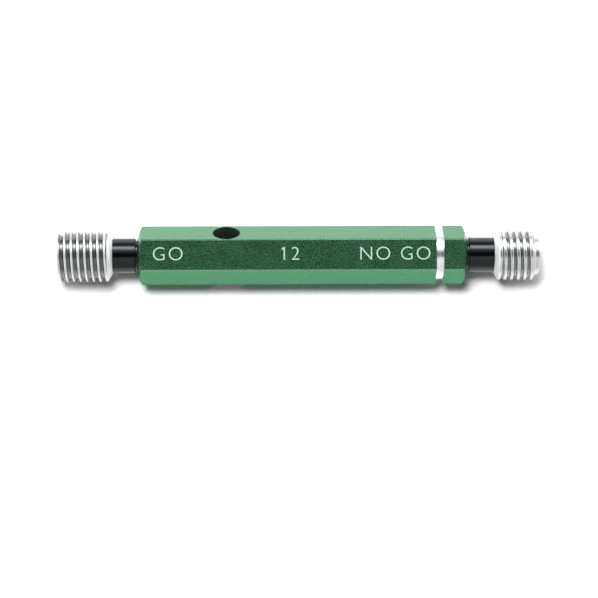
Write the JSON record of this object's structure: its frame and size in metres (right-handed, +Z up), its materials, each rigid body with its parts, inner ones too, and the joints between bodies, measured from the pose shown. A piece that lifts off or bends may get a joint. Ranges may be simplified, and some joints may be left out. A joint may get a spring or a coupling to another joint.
{
  "type": "thread plug gauge",
  "caption": "Double-ended thread plug gauge: GO and NOT GO threaded members held by tapers in a hexagonal handle with a drift hole and a marker groove.",
  "frame": {"origin": "on the supporting surface, below the middle of the whole length and of the width", "axes": "+X along the gauge's axis from the GO member towards the NOT GO member, +Z up, square to the flat that faces down"},
  "size_m": [0.1102, 0.0134, 0.012],
  "materials": {
    "anodised_handle": "green anodised, satin, bare in the turned groove",
    "gauge_steel": "hardened tool steel, thread ground bright, neck black oxide"
  },
  "bodies": {
    "root": {"handle": "anodised_handle", "go_gauge": "gauge_steel", "not_go_gauge": "gauge_steel"}
  },
  "joints": []
}
